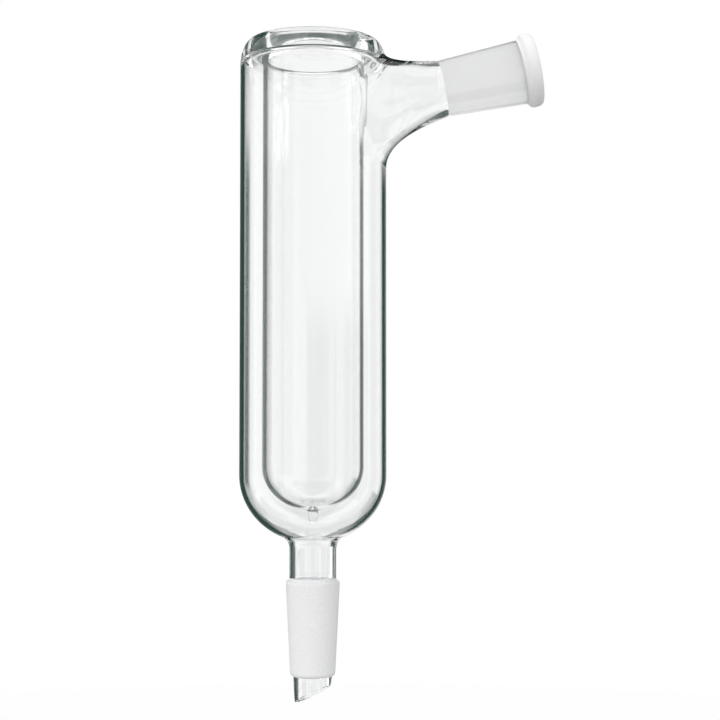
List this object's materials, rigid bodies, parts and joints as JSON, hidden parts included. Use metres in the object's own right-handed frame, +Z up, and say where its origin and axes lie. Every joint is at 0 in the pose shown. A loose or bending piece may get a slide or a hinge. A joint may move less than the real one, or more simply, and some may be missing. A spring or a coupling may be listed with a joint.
{
  "type": "cold finger condenser",
  "caption": "Well-type cold finger condenser in clear glass: open well inside a round-bottomed jacket, ground cone with drip tip below, flared side arm with ground socket.",
  "frame": {"origin": "on the jacket's axis, at the wide end of the lower ground cone", "axes": "+Z up along the jacket's axis, +X towards the side arm, which tilts up by 11.9 degrees"},
  "size_m": [0.1364, 0.0656, 0.2988],
  "materials": {
    "clear_glass": "fire-polished clear borosilicate",
    "ground_glass": "ground, matt white"
  },
  "bodies": {
    "root": {"outer_jacket": "clear_glass", "rim_seal": "clear_glass", "inner_well": "clear_glass", "drip_nib": "clear_glass", "neck_tube": "clear_glass", "ground_cone": "ground_glass", "drip_tip": "clear_glass", "side_arm": "clear_glass", "ground_socket": "ground_glass", "socket_bead": "ground_glass"}
  },
  "joints": []
}
